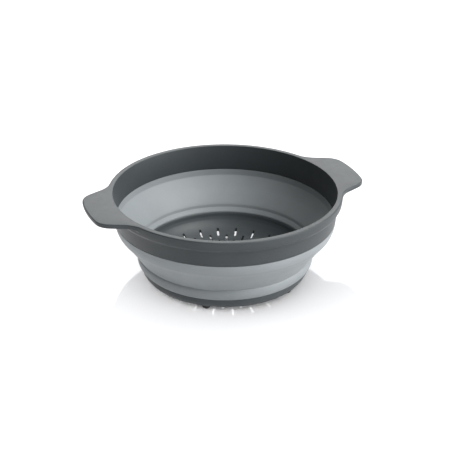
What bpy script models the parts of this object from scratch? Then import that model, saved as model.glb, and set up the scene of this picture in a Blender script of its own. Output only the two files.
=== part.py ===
# Collapsible colander, standing open on its four feet.
# A hard rim with two tab handles, one soft folding wall and a hard slotted base.
# Sizes are millimetres in the tables below and metres in the meshes. +Z is up, +X runs through the handles.

import math

import bmesh
import bpy
from mathutils import Vector

MM = 0.001
GAP = 0.3               # clearance between neighbouring pieces

HEIGHT = 96.0           # floor to rim, open
RIM_RADIUS = 120.0      # outside of the rolled rim
TAB_TIP = 145.4         # handle tip from the centre
TAB_THICKNESS = 4.6
TAB_SIDE = (128.0, 39.0)    # a point on the handle's straight side
TAB_TAPER = 0.45        # how fast the side closes towards the tip
TAB_ROOT_FILLET = 28.0
TAB_CORNER = 18.0

WAIST_CUT = 92.9        # radius where the wall stops flexing, at the base
COLLAR_CUT = 110.5      # radius where the wall stops flexing, at the rim
FOLD_BANDS = ("wall_upper_fold", "wall_crease_ring", "wall_middle_fold", "wall_lower_fold")

SLOT_LENGTH = 9.6
SLOT_WIDTH = 2.7
SLOT_PITCH = 7.7        # radial distance from one ring of slots to the next
OUTER_SLOT_RING = 73.9
DENSE_RINGS = 4         # outer rings of slots
DENSE_COUNT = 24        # slots in each of them
RING_BREAK = 12.1       # step in to the inner rings, which have half as many slots
INNER_RINGS = 3

FOOT_CIRCLE = 76.5
FOOT_ANGLES = (55.0, 125.0, 235.0, 305.0)
FOOT_RADIUS = 4.3
FOOT_TOP = 4.4          # underside of the boss that a foot plugs into
SPIGOT_RADIUS = 1.9
SPIGOT_TOP = 7.6
BOSS_COVER = 1.1        # dish left over a boss

BORE_STEPS = 12         # steps round a foot's bore
FOOT_STEPS = 16         # steps round a foot and its boss
ROUND_STEPS = 48        # steps round a turned piece
SLOT_END_STEPS = 2      # steps round each end of a slot
CUT_LOW = -5.0          # the slot cutters' bottom and top, clear of the dish
CUT_HIGH = 25.0
SHARP = math.radians(32.0)

# The folding wall's two faces, radius and height, from the rim down to the waist.
WALL_OUTER = ((113.6, 67.4), (112.6, 62.0), (109.6, 56.0), (106.0, 50.8), (101.5, 44.5), (96.0, 37.5),
              (92.6, 32.2), (91.2, 28.6))
WALL_INNER = ((111.2, 69.0), (110.4, 62.0), (107.6, 56.8), (104.4, 51.9), (99.9, 45.6), (94.4, 38.7),
              (91.6, 34.2))

# The base dish in section: its inside from the edge to the floor, its underside, and the thin outer skirt.
DISH_INSIDE = ((88.1, 27.4), (87.2, 26.0), (86.6, 22.9), (86.0, 21.8), (85.0, 19.0), (80.5, 14.2),
               (73.9, 9.6), (66.2, 6.2), (57.0, 4.6), (0.0, 4.6))
DISH_UNDER = ((0.0, 2.4), (57.0, 2.4), (66.8, 4.1), (75.2, 7.7), (82.1, 12.5), (85.6, 15.6))
DISH_SKIRT = ((86.1, 14.8), (85.4, 12.0), (84.1, 9.3), (82.7, 6.8), (83.1, 5.9), (84.0, 6.0), (85.5, 8.0),
              (87.2, 11.2), (88.1, 16.2))


def clear_scene():
    for item in list(bpy.data.objects):
        bpy.data.objects.remove(item, do_unlink=True)


def plastic(name, color, roughness):
    material = bpy.data.materials.new(name)
    material.use_nodes = True
    shader = material.node_tree.nodes["Principled BSDF"]
    shader.inputs["Base Color"].default_value = (*color, 1.0)
    shader.inputs["Roughness"].default_value = roughness
    shader.inputs["Metallic"].default_value = 0.0
    return material


def add_piece(name, bm, material):
    """Turn a bmesh in millimetres into a named, outward-facing object in metres."""
    bmesh.ops.remove_doubles(bm, verts=bm.verts, dist=0.0005)
    bmesh.ops.recalc_face_normals(bm, faces=bm.faces)
    bmesh.ops.scale(bm, vec=Vector((MM, MM, MM)), verts=bm.verts)
    mesh = bpy.data.meshes.new(name)
    bm.to_mesh(mesh)
    bm.free()
    mesh.shade_smooth()
    mesh.set_sharp_from_angle(angle=SHARP)
    mesh.materials.append(material)
    piece = bpy.data.objects.new(name, mesh)
    bpy.context.collection.objects.link(piece)
    return piece


def turned_mesh(profile, steps, closed=True):
    """Spin a profile of (radius, height) points about the vertical axis, its facets astride +X."""
    bm = bmesh.new()
    phase = math.pi / steps
    points = [bm.verts.new((radius * math.cos(phase), radius * math.sin(phase), height))
              for radius, height in profile]
    edges = [bm.edges.new(pair) for pair in zip(points, points[1:])]
    if closed:
        edges.append(bm.edges.new((points[-1], points[0])))
    bmesh.ops.spin(bm, geom=points + edges, cent=(0, 0, 0), axis=(0, 0, 1), dvec=(0, 0, 0),
                   angle=2.0 * math.pi, steps=steps, use_merge=True, use_duplicate=False)
    return bm


def height_on(face, radius):
    """Height of a wall face at a radius, straight between its points."""
    for (r_high, z_high), (r_low, z_low) in zip(face, face[1:]):
        if r_low <= radius <= r_high:
            share = (radius - r_low) / (r_high - r_low)
            return z_low + share * (z_high - z_low)
    return face[-1][1]


def wall_section(r_high, r_low):
    """Closed section of the wall between two upright cylinders."""
    section = [(r_high, height_on(WALL_OUTER, r_high))]
    section += [point for point in WALL_OUTER if r_low < point[0] < r_high]
    section.append((r_low, height_on(WALL_OUTER, r_low)))
    section.append((r_low, height_on(WALL_INNER, r_low)))
    section += [point for point in reversed(WALL_INNER) if r_low < point[0] < r_high]
    section.append((r_high, height_on(WALL_INNER, r_high)))
    return section


def arc(center, radius, start, end, steps):
    """Points on an arc, angles in radians."""
    points = []
    for step in range(steps + 1):
        angle = start + (end - start) * step / steps
        points.append((center[0] + radius * math.cos(angle), center[1] + radius * math.sin(angle)))
    return points


def tab_outline():
    """Half of a handle's plan, from the rim round to its tip: fillet, side, corner, tip arc."""
    slope = math.atan(TAB_TAPER)
    along = (math.cos(slope), -math.sin(slope))
    across = (math.sin(slope), math.cos(slope))
    side = across[0] * TAB_SIDE[0] + across[1] * TAB_SIDE[1]

    def center_at(offset, reach):
        run = math.sqrt(reach * reach - offset * offset)
        return (offset * across[0] + run * along[0], offset * across[1] + run * along[1])

    root = center_at(side + TAB_ROOT_FILLET, RIM_RADIUS + TAB_ROOT_FILLET)
    root_start = math.atan2(root[1], root[0]) + math.pi
    root_end = math.atan2(-across[1], -across[0]) + 2.0 * math.pi
    corner = center_at(side - TAB_CORNER, TAB_TIP - TAB_CORNER)
    corner_start = math.atan2(across[1], across[0])
    corner_end = math.atan2(corner[1], corner[0])
    points = arc(root, TAB_ROOT_FILLET, root_start, root_end, 5)
    points += arc(corner, TAB_CORNER, corner_start, corner_end, 6)
    points += arc((0.0, 0.0), TAB_TIP, corner_end, 0.0, 3)[1:]
    return points


def rim_stations():
    """Angles round the rim with the outer radius at each, closer together at the handles."""
    quarter = [(math.atan2(y, x), math.hypot(x, y)) for x, y in reversed(tab_outline())]
    last = quarter[-1][0]
    plain_steps = 8
    for step in range(1, plain_steps + 1):
        quarter.append((last + (math.pi / 2.0 - last) * step / plain_steps, RIM_RADIUS))
    half = quarter + [(math.pi - angle, reach) for angle, reach in reversed(quarter[:-1])]
    return half + [(angle + math.pi, reach) for angle, reach in half[1:-1]]


def rim_section(reach):
    """Closed section of the rim, its lip drawn out to the given radius."""
    lip_bottom = HEIGHT - TAB_THICKNESS
    return ((114.9, HEIGHT), (reach - 1.4, HEIGHT), (reach - 0.4, HEIGHT - 0.5), (reach, HEIGHT - 1.5),
            (reach, lip_bottom + 0.9), (reach - 0.2, lip_bottom), (119.6, lip_bottom), (119.5, 88.6),
            (118.6, 86.0), (117.2, 84.8), (115.6, 84.4), (115.0, 81.0), (113.8, 67.7), (112.5, 67.7),
            (112.5, 69.3), (111.4, 69.3), (114.3, 95.2))


def make_rim(material):
    """One hard moulding: rolled lip, upright band and the two tab handles."""
    bm = bmesh.new()
    rings = []
    for angle, reach in rim_stations():
        unit = (math.cos(angle), math.sin(angle))
        rings.append([bm.verts.new((radius * unit[0], radius * unit[1], height))
                      for radius, height in rim_section(reach)])
    for here, there in zip(rings, rings[1:] + rings[:1]):
        for index in range(len(here)):
            other = (index + 1) % len(here)
            bm.faces.new((here[index], here[other], there[other], there[index]))
    return add_piece("rim_frame", bm, material)


def make_collar(material):
    """The top bead of the soft wall, bonded under the rim's band."""
    cut = COLLAR_CUT + GAP / 2.0
    section = [(113.5, 67.7 - GAP), (112.6, 62.0), (cut, height_on(WALL_OUTER, cut)),
               (cut, height_on(WALL_INNER, cut)), (111.3, 69.3 - GAP), (111.9, 69.3 - GAP),
               (111.9, 67.7 - GAP)]
    return add_piece("wall_collar", turned_mesh(section, ROUND_STEPS), material)


def make_fold_bands(material):
    """The flexing wall as nested rings cut by upright cylinders, so that they slide past each other."""
    width = (COLLAR_CUT - WAIST_CUT) / len(FOLD_BANDS)
    for index, name in enumerate(FOLD_BANDS):
        r_high = COLLAR_CUT - index * width - GAP / 2.0
        r_low = r_high - width + GAP
        add_piece(name, turned_mesh(wall_section(r_high, r_low), ROUND_STEPS), material)


def make_waist(material):
    """The thick foot of the soft wall: inner steps, pinched waist and the bulge round the base."""
    cut = WAIST_CUT - GAP / 2.0
    section = [(cut, height_on(WALL_OUTER, cut)), (91.2, 29.4), (91.1, 27.8), (91.6, 25.0), (91.3, 20.6),
               (89.8, 17.3), (88.4, 16.4), (88.4, 27.8), (89.3, 29.2), (91.2, 33.2), (cut, 36.1)]
    return add_piece("wall_waist", turned_mesh(section, ROUND_STEPS), material)


def slot_rings():
    """Radius, count and angle offset of each ring of slots, staggered from the ring outside it."""
    rings = []
    for index in range(DENSE_RINGS):
        offset = math.pi / DENSE_COUNT if index % 2 else 0.0
        rings.append((OUTER_SLOT_RING - index * SLOT_PITCH, DENSE_COUNT, offset))
    inner_count = DENSE_COUNT // 2
    inner_radius = rings[-1][0] - RING_BREAK
    for index in range(INNER_RINGS):
        offset = math.pi / inner_count if index % 2 else 0.0
        rings.append((inner_radius - index * SLOT_PITCH, inner_count, offset))
    return rings


def make_slot_cutter():
    """All the drain slots as upright prisms with rounded ends, for cutting."""
    bm = bmesh.new()
    half_width = SLOT_WIDTH / 2.0
    straight = SLOT_LENGTH / 2.0 - half_width
    ends = arc((straight, 0.0), half_width, -math.pi / 2.0, math.pi / 2.0, SLOT_END_STEPS)
    ends += arc((-straight, 0.0), half_width, math.pi / 2.0, 3.0 * math.pi / 2.0, SLOT_END_STEPS)
    for ring_radius, count, offset in slot_rings():
        for step in range(count):
            angle = offset + 2.0 * math.pi * step / count
            cosine = math.cos(angle)
            sine = math.sin(angle)
            outline = []
            for x, y in ends:
                reach = ring_radius + x
                outline.append(bm.verts.new((reach * cosine - y * sine, reach * sine + y * cosine, CUT_LOW)))
            floor = bm.faces.new(outline)
            walls = bmesh.ops.extrude_face_region(bm, geom=[floor])
            top = [item for item in walls["geom"] if isinstance(item, bmesh.types.BMVert)]
            bmesh.ops.translate(bm, vec=(0.0, 0.0, CUT_HIGH - CUT_LOW), verts=top)
    return add_guide("slot_cutter", bm)


def add_guide(name, bm):
    """A cutter or added shape that a Boolean reads, not a piece of its own."""
    guide = add_piece(name, bm, bpy.data.materials[0])
    guide.hide_render = True
    guide.display_type = "WIRE"
    return guide


def boolean(piece, guide, operation):
    modifier = piece.modifiers.new(guide.name, "BOOLEAN")
    modifier.operation = operation
    modifier.solver = "EXACT"
    modifier.object = guide


def make_base(material):
    """The hard base: dish with drain slots, outer skirt, and bosses that hold the feet."""
    section = DISH_UNDER + DISH_SKIRT + DISH_INSIDE
    base = add_piece("base_dish", turned_mesh(section, ROUND_STEPS, closed=False), material)
    bosses = bmesh.new()
    bores = bmesh.new()
    for degrees in FOOT_ANGLES:
        angle = math.radians(degrees)
        center = Vector((FOOT_CIRCLE * math.cos(angle), FOOT_CIRCLE * math.sin(angle), 0.0))
        boss = add_cylinder(bosses, center, FOOT_RADIUS, FOOT_TOP + GAP, SPIGOT_TOP, FOOT_STEPS)
        raise_to_dish(boss)
        add_cylinder(bores, center, SPIGOT_RADIUS + GAP, 0.0, SPIGOT_TOP + GAP, BORE_STEPS)
    boolean(base, add_guide("foot_boss", bosses), "UNION")
    boolean(base, add_guide("foot_bore", bores), "DIFFERENCE")
    boolean(base, make_slot_cutter(), "DIFFERENCE")
    return base


def add_cylinder(bm, center, radius, z_low, z_high, steps):
    made = bmesh.ops.create_cone(bm, cap_ends=True, segments=steps, radius1=radius, radius2=radius,
                                 depth=z_high - z_low)
    bmesh.ops.translate(bm, vec=center + Vector((0.0, 0.0, (z_low + z_high) / 2.0)), verts=made["verts"])
    return made["verts"]


def raise_to_dish(verts):
    """Carry a boss up into the dish's slope, stopping short of its inside."""
    for vert in verts:
        if vert.co.z > (FOOT_TOP + SPIGOT_TOP) / 2.0:
            vert.co.z = height_on(DISH_INSIDE, math.hypot(vert.co.x, vert.co.y)) - BOSS_COVER


def make_feet(material):
    """Four small rubber feet, each a dome with a spigot pushed into a boss."""
    profile = ((0.0, SPIGOT_TOP), (SPIGOT_RADIUS, SPIGOT_TOP), (SPIGOT_RADIUS, FOOT_TOP),
               (FOOT_RADIUS, FOOT_TOP), (4.2, 2.6), (3.6, 1.0), (2.4, 0.0), (0.0, 0.0))
    for number, degrees in enumerate(FOOT_ANGLES, start=1):
        angle = math.radians(degrees)
        foot = add_piece("foot_%d" % number, turned_mesh(profile, FOOT_STEPS, closed=False), material)
        foot.location = (FOOT_CIRCLE * MM * math.cos(angle), FOOT_CIRCLE * MM * math.sin(angle), 0.0)


def main():
    clear_scene()
    hard = plastic("hard_grey_plastic", (0.085, 0.095, 0.100), 0.42)
    soft = plastic("soft_grey_elastomer", (0.300, 0.325, 0.335), 0.55)
    rubber = plastic("black_rubber", (0.020, 0.020, 0.022), 0.60)
    make_rim(hard)
    make_collar(soft)
    make_fold_bands(soft)
    make_waist(soft)
    make_base(hard)
    make_feet(rubber)


main()
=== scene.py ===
import math

import bmesh
import bpy
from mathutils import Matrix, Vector


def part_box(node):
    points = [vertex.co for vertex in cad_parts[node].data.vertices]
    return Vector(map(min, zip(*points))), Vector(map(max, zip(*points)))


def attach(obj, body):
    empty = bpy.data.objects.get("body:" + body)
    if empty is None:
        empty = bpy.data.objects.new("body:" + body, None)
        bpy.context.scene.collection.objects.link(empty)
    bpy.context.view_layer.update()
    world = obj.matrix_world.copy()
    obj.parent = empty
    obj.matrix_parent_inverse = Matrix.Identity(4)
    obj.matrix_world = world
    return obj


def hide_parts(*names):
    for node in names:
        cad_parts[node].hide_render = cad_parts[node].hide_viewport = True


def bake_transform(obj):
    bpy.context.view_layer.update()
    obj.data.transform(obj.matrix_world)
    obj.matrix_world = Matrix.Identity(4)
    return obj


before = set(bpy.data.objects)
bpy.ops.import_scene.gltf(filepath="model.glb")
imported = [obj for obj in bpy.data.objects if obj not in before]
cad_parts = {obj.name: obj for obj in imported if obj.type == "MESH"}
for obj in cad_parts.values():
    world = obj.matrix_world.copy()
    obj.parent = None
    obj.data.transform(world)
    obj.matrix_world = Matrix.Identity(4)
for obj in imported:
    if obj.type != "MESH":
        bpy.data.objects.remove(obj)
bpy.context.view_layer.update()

mm = 0.001
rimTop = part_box("rim_frame")[1].z / mm
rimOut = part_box("rim_frame")[1].y / mm
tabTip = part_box("rim_frame")[1].x / mm
print("frame loaded: rim", round(rimOut, 1), "handle tip", round(tabTip, 1), "height", round(rimTop, 1), "mm")


# ---- shader sockets that take part in plain arithmetic

class Wire:
    def __init__(self, tree, socket=None):
        self.tree = tree
        self.socket = socket

    def node(self, kind, settings=None, inputs=None, out=0):
        made = self.tree.nodes.new(kind)
        for name, value in (settings or {}).items():
            if name == "stops":
                fillRamp(made.color_ramp, value)
            else:
                setattr(made, name, value)
        for name, value in (inputs or {}).items():
            if isinstance(value, Wire):
                self.tree.links.new(value.socket, made.inputs[name])
            else:
                made.inputs[name].default_value = value
        return Wire(self.tree, made.outputs[out])

    def math(self, operation, *values):
        return self.node("ShaderNodeMath", {"operation": operation}, dict(enumerate(values)))

    def __add__(self, other):
        return self.math("ADD", self, other)

    def __sub__(self, other):
        return self.math("SUBTRACT", self, other)

    def __rsub__(self, other):
        return self.math("SUBTRACT", other, self)

    def __mul__(self, other):
        return self.math("MULTIPLY", self, other)

    __radd__ = __add__
    __rmul__ = __mul__


def fillRamp(ramp, stops):
    while len(ramp.elements) > 1:
        ramp.elements.remove(ramp.elements[-1])
    ramp.elements[0].position = stops[0][0]
    ramp.elements[0].color = stops[0][1]
    for place, colour in stops[1:]:
        ramp.elements.new(place).color = colour


def newMaterial(name, shine):
    material = bpy.data.materials.new(name)
    material.use_nodes = True
    tree = material.node_tree
    shader = tree.nodes["Principled BSDF"]
    for socket, value in shine.items():
        shader.inputs[socket].default_value = value
    return material, shader, Wire(tree)


def plug(wire, shader, socket):
    wire.tree.links.new(wire.socket, shader.inputs[socket])


# ---- finishes

hardFinish = dict(name="satinHardPlastic", dark=(0.0265, 0.0315, 0.034, 1), light=(0.034, 0.040, 0.043, 1),
                  rough=0.46, roughSwing=0.08, grainSize=0.55, grainHeight=0.012, cloudSize=38, wipeSize=9,
                  shine={"IOR": 1.46, "Specular IOR Level": 0.36})
# a lighter copy of the hard plastic for the base dish: the extra lightness is painted light, standing in for
# the stronger light the base and dish get
baseFinishWithPaintedLight = dict(hardFinish, name="satinBasePlasticPaintedLight",
                  dark=(0.038, 0.045, 0.048, 1), light=(0.048, 0.056, 0.060, 1))
softFinish = dict(name="softMatteElastomer", dark=(0.170, 0.186, 0.193, 1), light=(0.200, 0.218, 0.226, 1),
                  rough=0.52, roughSwing=0.10, grainSize=0.8, grainHeight=0.010, cloudSize=46, wipeSize=12,
                  shine={"IOR": 1.42, "Sheen Weight": 0.05, "Sheen Roughness": 0.4})
rubberFinish = dict(name="blackFootRubber", dark=(0.016, 0.016, 0.018, 1), light=(0.026, 0.026, 0.028, 1),
                    rough=0.62, roughSwing=0.12, grainSize=0.5, grainHeight=0.03, cloudSize=6, wipeSize=3,
                    shine={"IOR": 1.45})


def mouldedFinish(s):
    # fine spark-eroded grain, slow clouding in the colour, and wiped patches in the gloss
    material, shader, start = newMaterial(s["name"], s["shine"])
    place = start.node("ShaderNodeTexCoord", out="Object")
    grain = start.node("ShaderNodeTexNoise", {}, {"Vector": place, "Scale": 1 / (s["grainSize"] * mm),
                                                  "Detail": 3, "Roughness": 0.6})
    cloud = start.node("ShaderNodeTexNoise", {}, {"Vector": place, "Scale": 1 / (s["cloudSize"] * mm),
                                                  "Detail": 4, "Roughness": 0.55})
    wipe = start.node("ShaderNodeTexNoise", {}, {"Vector": place, "Scale": 1 / (s["wipeSize"] * mm),
                                                 "Detail": 5, "Roughness": 0.65, "Distortion": 0.6})
    pits = start.node("ShaderNodeTexVoronoi", {}, {"Vector": place, "Scale": 0.7 / (s["grainSize"] * mm)})
    tone = (cloud - 0.5) * 0.9 + (grain - 0.5) * 0.35 + 0.5
    colour = start.node("ShaderNodeValToRGB", {"stops": ((0.2, s["dark"]), (0.8, s["light"]))}, {"Fac": tone})
    plug(colour, shader, "Base Color")
    plug((wipe - 0.5) * s["roughSwing"] * 2 + (grain - 0.5) * 0.06 + s["rough"], shader, "Roughness")
    height = grain * 0.7 + pits * 0.3
    bump = start.node("ShaderNodeBump", {}, {"Height": height, "Strength": 0.5,
                                             "Distance": s["grainHeight"] * mm})
    plug(bump, shader, "Normal")
    return material


hardPlastic = mouldedFinish(hardFinish)
basePlasticWithPaintedLight = mouldedFinish(baseFinishWithPaintedLight)
softElastomer = mouldedFinish(softFinish)
footRubber = mouldedFinish(rubberFinish)
print("finishes made")


# ---- outlines and meshes

def arcPoints(centre, radius, start, end, steps):
    angles = (start + (end - start) * i / steps for i in range(steps + 1))
    return [(centre[0] + radius * math.cos(a), centre[1] + radius * math.sin(a)) for a in angles]


def roundedOutline(corners, steps=4):
    # corners are (x, y, radius); each becomes an arc tangent to its two sides
    outline = []
    for before, here, after in zip(corners[-1:] + corners[:-1], corners, corners[1:] + corners[:1]):
        point = Vector(here[:2])
        back = (Vector(before[:2]) - point).normalized()
        on = (Vector(after[:2]) - point).normalized()
        opening = back.angle(on)
        reach = here[2] / math.tan(opening / 2)
        centre = point + (back + on).normalized() * here[2] / math.sin(opening / 2)
        start = point + back * reach - centre
        turn = start.angle_signed(point + on * reach - centre)
        for i in range(steps + 1):
            share = -turn * i / steps
            spun = (start.x * math.cos(share) - start.y * math.sin(share),
                    start.x * math.sin(share) + start.y * math.cos(share))
            outline.append((centre.x + spun[0], centre.y + spun[1]))
    return outline


def smoothLine(points, steps=4):
    # a Catmull-Rom run through the points, ends included
    line = []
    guard = [points[0]] + list(points) + [points[-1]]
    for a, b, c, d in zip(guard, guard[1:], guard[2:], guard[3:]):
        for i in range(steps):
            t = i / steps
            line.append(tuple(0.5 * (2 * q + (r - p) * t + (2 * p - 5 * q + 4 * r - s) * t * t
                                     + (3 * q - p - 3 * r + s) * t ** 3) for p, q, r, s in zip(a, b, c, d)))
    return line + [tuple(points[-1])]


def shellMesh(name, stations, sectionAt, closed=True):
    # sweeps a closed (radius, height) section round the vertical axis; sectionAt gives it for each station
    verts = []
    faces = []
    count = 0
    for angle, reach in stations:
        section = sectionAt(reach)
        count = len(section)
        verts += [(r * mm * math.cos(angle), r * mm * math.sin(angle), z * mm) for r, z in section]
    total = len(stations)
    for i in range(total):
        here = i * count
        there = (i + 1) % total * count
        for j in range(count if closed else count - 1):
            k = (j + 1) % count
            faces.append((here + j, here + k, there + k, there + j))
    mesh = bpy.data.meshes.new(name)
    mesh.from_pydata(verts, [], faces)
    mesh.validate()
    return mesh


def finishPiece(name, mesh, material, sharp=35):
    bm = bmesh.new()
    bm.from_mesh(mesh)
    bmesh.ops.remove_doubles(bm, verts=bm.verts, dist=0.000001)
    bmesh.ops.recalc_face_normals(bm, faces=bm.faces)
    bm.to_mesh(mesh)
    bm.free()
    mesh.shade_smooth()
    mesh.set_sharp_from_angle(angle=math.radians(sharp))
    mesh.materials.clear()
    mesh.materials.append(material)
    piece = bpy.data.objects.new(name, mesh)
    bpy.context.collection.objects.link(piece)
    return piece


# ---- hard rim with its two handles

rim = dict(tabThick=4.6, sideX=128.0, sideY=39.0, taper=0.45, rootFillet=28.0, tabCorner=18.0,
           inner=114.3, bandInner=111.4, bandOuter=113.8, bandLow=67.7, steps=5)


def tabOutline(s):
    # half a handle in plan: root fillet, tapering side, corner, tip arc about the bowl's centre
    slope = math.atan(s["taper"])
    along = (math.cos(slope), -math.sin(slope))
    across = (math.sin(slope), math.cos(slope))
    side = across[0] * s["sideX"] + across[1] * s["sideY"]

    def centreAt(offset, reach):
        run = math.sqrt(reach * reach - offset * offset)
        return offset * across[0] + run * along[0], offset * across[1] + run * along[1]

    root = centreAt(side + s["rootFillet"], rimOut + s["rootFillet"])
    rootStart = math.atan2(root[1], root[0]) + math.pi
    rootEnd = math.atan2(-across[1], -across[0]) + 2 * math.pi
    corner = centreAt(side - s["tabCorner"], tabTip - s["tabCorner"])
    cornerStart = math.atan2(across[1], across[0])
    cornerEnd = math.atan2(corner[1], corner[0])
    line = arcPoints(root, s["rootFillet"], rootStart, rootEnd, 16)
    line += arcPoints(corner, s["tabCorner"], cornerStart, cornerEnd, 18)
    line += arcPoints((0, 0), tabTip, cornerEnd, 0, 10)[1:]
    return line


def rimStations(s):
    quarter = [(math.atan2(y, x), math.hypot(x, y)) for x, y in reversed(tabOutline(s))]
    last = quarter[-1][0]
    plain = 40
    quarter += [(last + (math.pi / 2 - last) * i / plain, rimOut) for i in range(1, plain + 1)]
    half = quarter + [(math.pi - a, r) for a, r in reversed(quarter[:-1])]
    return half + [(a + math.pi, r) for a, r in half[1:-1]]


def rimSection(reach):
    low = rimTop - rim["tabThick"]
    out = min(1.0, (reach - rimOut) / 3)
    corners = [(rim["inner"], rimTop, 0.7), (reach, rimTop, 1.2), (reach - 0.1, low, 0.8 * out + 0.3),
               (119.75 - 0.3 * out, low - 1.8 + 1.7 * out, 0.5 * out + 0.3), (119.4, 87.6, 2.2),
               (118.0, 85.0, 1.2), (115.7, 84.4, 0.5),
               (115.2, 82.0, 2.0), (rim["bandOuter"], rim["bandLow"], 0.35), (112.5, rim["bandLow"], 0.1),
               (112.5, 69.3, 0.1), (rim["bandInner"], 69.3, 0.3)]
    return roundedOutline(corners, rim["steps"])


rimShell = finishPiece("rimShell", shellMesh("rimShell", rimStations(rim), rimSection), hardPlastic)
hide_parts("rim_frame")
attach(rimShell, "rim")
print("rim", len(rimShell.data.polygons), "faces")


# ---- soft folding wall

wall = dict(turns=240,
            outer=((113.7, 67.3), (113.4, 64.5), (112.6, 60.8), (111.2, 57.2), (110.1, 55.3), (109.3, 54.4),
                   (106.3, 50.9), (101.4, 44.2), (96.5, 37.4), (93.3, 32.4), (91.4, 29.5), (90.6, 28.7)),
            bulge=((90.4, 28.4), (90.6, 27.9), (91.3, 26.6), (91.7, 24.2), (91.4, 21.3), (90.4, 18.4),
                   (88.7, 16.6)),
            inner=((88.4, 27.4), (88.7, 28.4), (91.0, 31.6), (91.5, 32.5), (91.9, 34.0), (93.0, 36.4),
                   (99.6, 45.4), (104.4, 51.9), (107.9, 57.4), (110.1, 61.3), (110.7, 62.6), (110.9, 64.0),
                   (111.3, 68.9)),
            stretchLow=0.030, stretchHigh=0.067)


def wallSection(reach):
    outer = smoothLine(wall["outer"])
    bulge = smoothLine(wall["bulge"])
    inner = smoothLine(wall["inner"])
    return [(111.9, 69.0), (112.2, 67.4)] + outer + bulge + [(88.4, 17.0), (88.4, 22.0)] + inner


turns = [(2 * math.pi * i / wall["turns"], 0) for i in range(wall["turns"])]
wallMesh = shellMesh("foldingWall", turns, wallSection)
foldingWall = finishPiece("foldingWall", wallMesh, softElastomer, sharp=50)
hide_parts("wall_collar", "wall_upper_fold", "wall_crease_ring", "wall_middle_fold",
            "wall_lower_fold", "wall_waist")
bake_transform(foldingWall)
print("wall", len(foldingWall.data.polygons), "faces")


# ---- hard base dish; its slots are cut by a geometry node tree

dish = dict(turns=192, floor=4.6, under=2.4, slotLength=9.6, slotWidth=2.7, pitch=7.7, outerRing=73.9,
            dense=24, denseRings=4, ringBreak=12.1, innerRings=3, cutLow=-5.0, cutHeight=30.0)


def dishMesh(s):
    inside = smoothLine(((87.9, 27.3), (87.2, 26.0), (86.6, 23.2), (86.0, 21.6), (84.6, 18.9), (80.5, 14.2),
                         (73.9, 9.6), (66.2, 6.2), (57.0, s["floor"])), 5)
    under = smoothLine(((57.0, s["under"]), (66.8, 4.1), (75.2, 7.7), (82.1, 12.5), (85.6, 15.6)), 4)
    hollow = smoothLine(((86.1, 14.8), (85.4, 12.0), (84.1, 9.3), (82.9, 7.0)), 4)
    skirt = smoothLine(((83.9, 6.1), (85.4, 8.0), (87.2, 11.4), (88.0, 16.2)), 5)
    section = inside + [(30.0, s["floor"]), (0.0, s["floor"]), (0.0, s["under"]), (30.0, s["under"])] + under
    section += hollow + [(82.8, 6.3), (83.1, 5.9), (83.5, 5.9)] + skirt + [(88.1, 17.0), (88.1, 26.9)]
    rounds = [(2 * math.pi * i / s["turns"], 0) for i in range(s["turns"])]
    return shellMesh("baseDish", rounds, lambda reach: section)


def slotRings(s):
    rings = [(s["outerRing"] - i * s["pitch"], s["dense"], i % 2) for i in range(s["denseRings"])]
    first = rings[-1][0] - s["ringBreak"]
    return rings + [(first - i * s["pitch"], s["dense"] // 2, i % 2) for i in range(s["innerRings"])]


def socketId(tree, name):
    for item in tree.interface.items_tree:
        if item.item_type == "SOCKET" and item.in_out == "INPUT" and item.name == name:
            return item.identifier
    raise KeyError(name)


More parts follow.
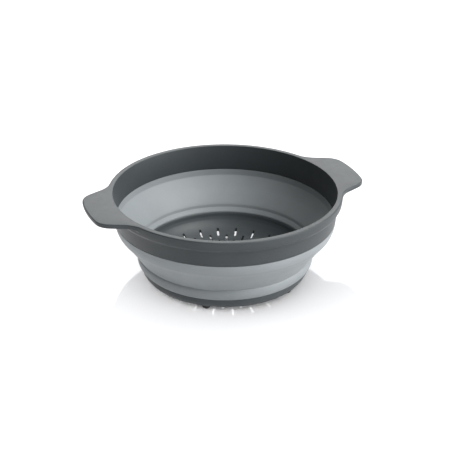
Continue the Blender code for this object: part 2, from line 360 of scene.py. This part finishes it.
def slotTree(s):
    tree = bpy.data.node_groups.new("cutSlots", "GeometryNodeTree")
    face = tree.interface
    face.new_socket("Geometry", in_out="INPUT", socket_type="NodeSocketGeometry")
    for name in ("Slot Length", "Slot Width"):
        face.new_socket(name, in_out="INPUT", socket_type="NodeSocketFloat")
    face.new_socket("Finish", in_out="INPUT", socket_type="NodeSocketMaterial")
    face.new_socket("Geometry", in_out="OUTPUT", socket_type="NodeSocketGeometry")
    start = Wire(tree)
    given = tree.nodes.new("NodeGroupInput")
    length = Wire(tree, given.outputs["Slot Length"])
    width = Wire(tree, given.outputs["Slot Width"])
    join = tree.nodes.new("GeometryNodeJoinGeometry")
    for radius, count, odd in slotRings(s):
        ring = start.node("GeometryNodeMeshCircle", {}, {"Vertices": count, "Radius": radius * mm})
        turned = start.node("GeometryNodeTransform", {}, {"Geometry": ring,
                                                          "Rotation": (0, 0, odd * math.pi / count)})
        tree.links.new(turned.socket, join.inputs[0])
    # one slot: a rounded prism, long side towards the centre
    box = start.node("GeometryNodeCurvePrimitiveQuadrilateral", {}, {"Width": length, "Height": width})
    ends = start.node("GeometryNodeFilletCurve", {"mode": "POLY"},
                      {"Curve": box, "Radius": width * 0.49, "Count": 5, "Limit Radius": True})
    flat = start.node("GeometryNodeFillCurve", {}, {"Curve": ends})
    prism = start.node("GeometryNodeExtrudeMesh", {}, {"Mesh": flat, "Offset": (0, 0, 1), "Individual": False,
                                                       "Offset Scale": s["cutHeight"] * mm})
    under = start.node("GeometryNodeFlipFaces", {}, {"Mesh": flat})
    solid = tree.nodes.new("GeometryNodeJoinGeometry")
    tree.links.new(prism.socket, solid.inputs[0])
    tree.links.new(under.socket, solid.inputs[0])
    sealed = start.node("GeometryNodeMergeByDistance", {}, {"Geometry": Wire(tree, solid.outputs[0])})
    lowered = start.node("GeometryNodeTransform", {}, {"Geometry": sealed,
                                                       "Translation": (0, 0, s["cutLow"] * mm)})
    spot = start.node("GeometryNodeInputPosition")
    facing = start.node("FunctionNodeAlignRotationToVector", {"axis": "X", "pivot_axis": "Z"},
                        {"Vector": spot})
    placed = start.node("GeometryNodeInstanceOnPoints", {}, {"Points": Wire(tree, join.outputs[0]),
                                                             "Instance": lowered, "Rotation": facing})
    cutters = start.node("GeometryNodeRealizeInstances", {}, {"Geometry": placed})
    cut = tree.nodes.new("GeometryNodeMeshBoolean")
    cut.operation = "DIFFERENCE"
    cut.solver = "EXACT"
    tree.links.new(given.outputs["Geometry"], cut.inputs[0])
    tree.links.new(cutters.socket, cut.inputs[1])
    whole = start.node("GeometryNodeRealizeInstances", {}, {"Geometry": Wire(tree, cut.outputs[0])})
    painted = start.node("GeometryNodeSetMaterial", {}, {"Geometry": whole,
                                                         "Material": Wire(tree, given.outputs["Finish"])})
    out = tree.nodes.new("NodeGroupOutput")
    tree.links.new(painted.socket, out.inputs[0])
    return tree


def grown(obj, tree, values):
    # runs the tree on the object and keeps the result as a plain mesh
    modifier = obj.modifiers.new(tree.name, "NODES")
    modifier.node_group = tree
    for name, value in values.items():
        modifier[socketId(tree, name)] = value
    result = bpy.data.meshes.new_from_object(obj.evaluated_get(bpy.context.evaluated_depsgraph_get()))
    obj.modifiers.remove(modifier)
    obj.data = result
    return obj


# the dish wears the lightened copy of the hard plastic, whose extra lightness is painted light
baseDish = finishPiece("baseDish", dishMesh(dish), basePlasticWithPaintedLight)
grown(baseDish, slotTree(dish), {"Slot Length": dish["slotLength"] * mm, "Slot Width": dish["slotWidth"] * mm,
                                 "Finish": basePlasticWithPaintedLight})
baseDish.data.shade_smooth()
baseDish.data.set_sharp_from_angle(angle=math.radians(32))
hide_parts("base_dish")
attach(baseDish, "base")
print("dish", len(baseDish.data.polygons), "faces")


# ---- rubber feet

feet = dict(circle=76.5, angles=(55, 125, 235, 305), turns=32,
            stem=1.8, stemTop=7.4, top=4.4,
            dome=((4.0, 4.4), (4.3, 4.1), (4.3, 3.2), (4.0, 1.9), (3.4, 0.8), (2.4, 0.0)))


def footMesh(s, angle):
    outline = [(0.0, s["stemTop"]), (s["stem"], s["stemTop"]), (s["stem"], s["top"])]
    outline += smoothLine(s["dome"]) + [(0.0, 0.0)]
    rounds = [(2 * math.pi * i / s["turns"], 0) for i in range(s["turns"])]
    mesh = shellMesh("foot", rounds, lambda reach: outline, closed=False)
    for vert in mesh.vertices:
        vert.co.x += s["circle"] * mm * math.cos(math.radians(angle))
        vert.co.y += s["circle"] * mm * math.sin(math.radians(angle))
    return mesh


rubberFeet = []
for number, angle in enumerate(feet["angles"], start=1):
    foot = finishPiece("rubberFoot%d" % number, footMesh(feet, angle), footRubber)
    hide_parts("foot_%d" % number)
    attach(foot, "base")
    rubberFeet.append(foot)
print("feet made")


# ---- floor, light and camera

view = dict(distance=1.2, elevation=26.6, turn=21.0, aim=0.055, lens=92.7, roll=0.15)
studio = dict(floorSize=8.0, floorColour=(0.86, 0.86, 0.87, 1), sky=0.25)
suns = (dict(name="keyLight", turn=-22, height=49, strength=2.5, spread=34, on="object"),
        dict(name="sideLight", turn=-5, height=12, strength=2.4, spread=40, on="object"),
        dict(name="backLight", turn=88, height=42, strength=2.8, spread=60, on="object"),
        dict(name="frontLight", turn=-45, height=22, strength=1.2, spread=60, on="object"),
        dict(name="steepLight", turn=-40, height=62, strength=1.2, spread=40, on="object"),
        dict(name="slotLight", turn=92, height=42, strength=1.9, spread=2, on="floor"),
        dict(name="floorTop", turn=0, height=90, strength=2.8, spread=150, on="floor"),
        dict(name="floorLeft", turn=-150, height=28, strength=1.4, spread=60, on="floor"),
        dict(name="floorFront", turn=-60, height=28, strength=1.2, spread=60, on="floor"))


def addCamera(s):
    tilt = math.radians(s["elevation"])
    turn = math.radians(s["turn"])
    flat = s["distance"] * math.cos(tilt)
    aim = Vector((0, 0, s["aim"]))
    place = aim + Vector((-flat * math.sin(turn), -flat * math.cos(turn), s["distance"] * math.sin(tilt)))
    data = bpy.data.cameras.new("studioCamera")
    data.lens = s["lens"]
    data.sensor_width = 36
    camera = bpy.data.objects.new("studioCamera", data)
    bpy.context.collection.objects.link(camera)
    camera.location = place
    facing = (aim - place).to_track_quat("-Z", "Y").to_euler()
    facing.rotate_axis("Z", math.radians(s["roll"]))
    camera.rotation_euler = facing
    bpy.context.scene.camera = camera


def addSun(s):
    # turn is measured from the camera's right hand, towards the back
    turn = math.radians(s["turn"] - view["turn"])
    height = math.radians(s["height"])
    coming = Vector((math.cos(turn) * math.cos(height), math.sin(turn) * math.cos(height), math.sin(height)))
    data = bpy.data.lights.new(s["name"], "SUN")
    data.energy = s["strength"]
    data.angle = math.radians(s["spread"])
    sun = bpy.data.objects.new(s["name"], data)
    bpy.context.collection.objects.link(sun)
    sun.rotation_euler = coming.to_track_quat("Z", "Y").to_euler()
    sun.light_linking.receiver_collection = lightGroups[s["on"]]


def addFloor(s):
    half = s["floorSize"] / 2
    mesh = bpy.data.meshes.new("studioFloor")
    corners = [(-half, -half, 0), (half, -half, 0), (half, half, 0), (-half, half, 0)]
    mesh.from_pydata(corners, [], [(0, 1, 2, 3)])
    material, shader, start = newMaterial("paperFloor", {"Roughness": 0.9, "Specular IOR Level": 0.1})
    shader.inputs["Base Color"].default_value = s["floorColour"]
    mesh.materials.append(material)
    floor = bpy.data.objects.new("studioFloor", mesh)
    bpy.context.collection.objects.link(floor)
    return floor


def addSky(s):
    # white behind everything, and a weaker even light on the object
    world = bpy.data.worlds.new("studioSky")
    bpy.context.scene.world = world
    world.use_nodes = True
    start = Wire(world.node_tree)
    seen = start.node("ShaderNodeLightPath", out="Is Camera Ray")
    strength = seen * (1 - s["sky"]) + s["sky"]
    background = world.node_tree.nodes["Background"]
    background.inputs["Color"].default_value = (1, 1, 1, 1)
    world.node_tree.links.new(strength.socket, background.inputs["Strength"])


addCamera(view)
floor = addFloor(studio)
addSky(studio)
lightGroups = {"object": bpy.data.collections.new("litObject"), "floor": bpy.data.collections.new("litFloor")}
lightGroups["floor"].objects.link(floor)
for piece in (rimShell, foldingWall, baseDish, *rubberFeet):
    lightGroups["object"].objects.link(piece)
for sun in suns:
    addSun(sun)
bpy.context.scene.view_settings.view_transform = "Standard"
print("studio made")
